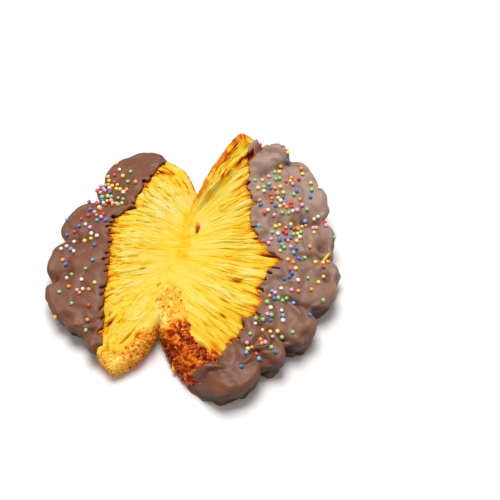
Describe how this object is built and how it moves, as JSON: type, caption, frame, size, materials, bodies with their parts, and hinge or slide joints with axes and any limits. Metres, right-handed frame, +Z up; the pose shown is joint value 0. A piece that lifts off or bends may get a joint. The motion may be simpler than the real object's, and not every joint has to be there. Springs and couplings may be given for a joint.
{
  "type": "butterfly puff pastry cookie",
  "caption": "Baked puff pastry cookie in the shape of a butterfly, with both wing ends dipped in chocolate and scattered with sugar pearls.",
  "frame": {"origin": "on the table, under the middle of the outline", "axes": "+Z up from the table, +Y from the front notch between the wings to the back notch, +X towards the wing whose back is curled up"},
  "size_m": [0.111, 0.1122, 0.0243],
  "materials": {
    "pastry": "flaky baked pastry with caramelised sugar",
    "chocolate": "set milk chocolate, satin",
    "pearls": "sugar pearls in several colours"
  },
  "bodies": {
    "root": {"pastry": "pastry", "chocolate_left": "chocolate", "chocolate_right": "chocolate"}
  },
  "joints": []
}
